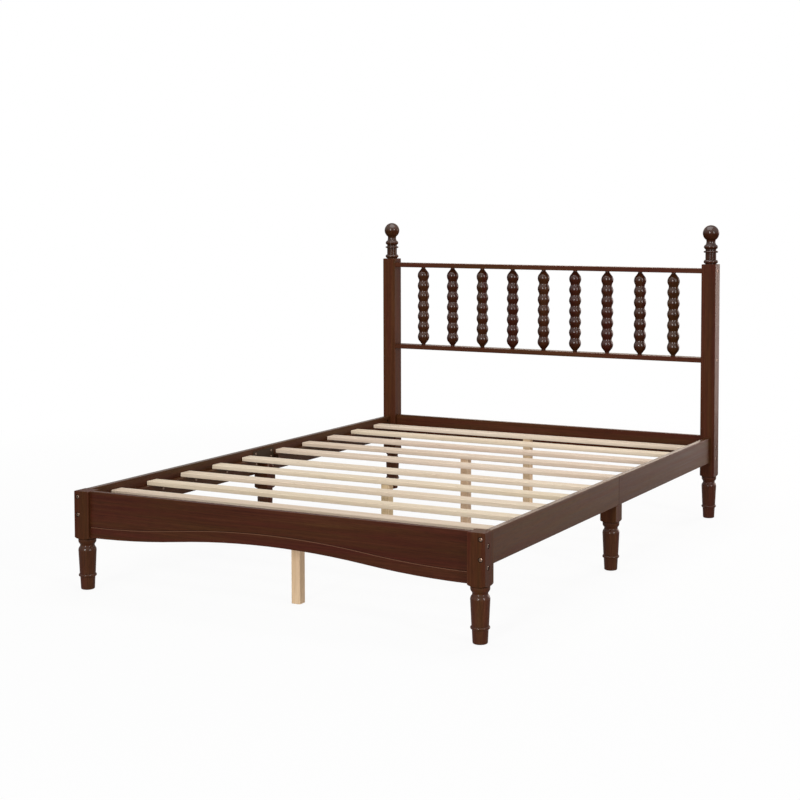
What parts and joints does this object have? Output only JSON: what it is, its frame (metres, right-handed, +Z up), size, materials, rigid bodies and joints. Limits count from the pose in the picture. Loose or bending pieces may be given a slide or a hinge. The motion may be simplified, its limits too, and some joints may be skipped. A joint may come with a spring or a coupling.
{
  "type": "platform_bed",
  "caption": "Dark walnut platform bed with a bobbin-turned spindle headboard, ball finials, an arched scored foot rail, turned legs and pale slats",
  "frame": {"origin": "on the floor under the middle of the bed's bounding box", "axes": "X across the bed, +Y from the foot to the headboard, +Z up"},
  "size_m": [1.456, 2.028, 1.124],
  "materials": {
    "walnut": "satin",
    "slat_wood": "matte",
    "bolt_steel": "satin",
    "plate_steel": "satin"
  },
  "bodies": {
    "root": {"barrel_nuts": "bolt_steel", "finial_left": "walnut", "finial_right": "walnut", "foot_post_left": "walnut", "foot_post_right": "walnut", "foot_rail": "walnut", "foot_rail_bolts": "bolt_steel", "headboard_bottom_rail": "walnut", "headboard_bottom_rail_bolts": "bolt_steel", "headboard_post_left": "walnut", "headboard_post_right": "walnut", "headboard_rail_bolts": "bolt_steel", "headboard_spindle_rail": "walnut", "headboard_top_rail": "walnut", "mid_leg_bolts": "bolt_steel", "mid_leg_insert_nuts": "bolt_steel", "mid_leg_left": "walnut", "mid_leg_right": "walnut", "rail_joint_plate_left": "plate_steel", "rail_joint_plate_right": "plate_steel", "side_rail_foot_bolts": "bolt_steel", "side_rail_head_bolts": "bolt_steel", "side_rail_left_front": "walnut", "side_rail_left_rear": "walnut", "side_rail_right_front": "walnut", "side_rail_right_rear": "walnut", "slat_1": "slat_wood", "slat_2": "slat_wood", "slat_3": "slat_wood", "slat_4": "slat_wood", "slat_5": "slat_wood", "slat_6": "slat_wood", "slat_7": "slat_wood", "slat_8": "slat_wood", "slat_9": "slat_wood", "slat_10": "slat_wood", "slat_ledger_left_front": "walnut", "slat_ledger_left_rear": "walnut", "slat_ledger_right_front": "walnut", "slat_ledger_right_rear": "walnut", "spindle_1": "walnut", "spindle_2": "walnut", "spindle_3": "walnut", "spindle_4": "walnut", "spindle_5": "walnut", "spindle_6": "walnut", "spindle_7": "walnut", "spindle_8": "walnut", "spindle_9": "walnut", "support_leg_1": "slat_wood", "support_leg_2": "slat_wood", "support_leg_3": "slat_wood", "support_leg_4": "slat_wood"}
  },
  "joints": []
}
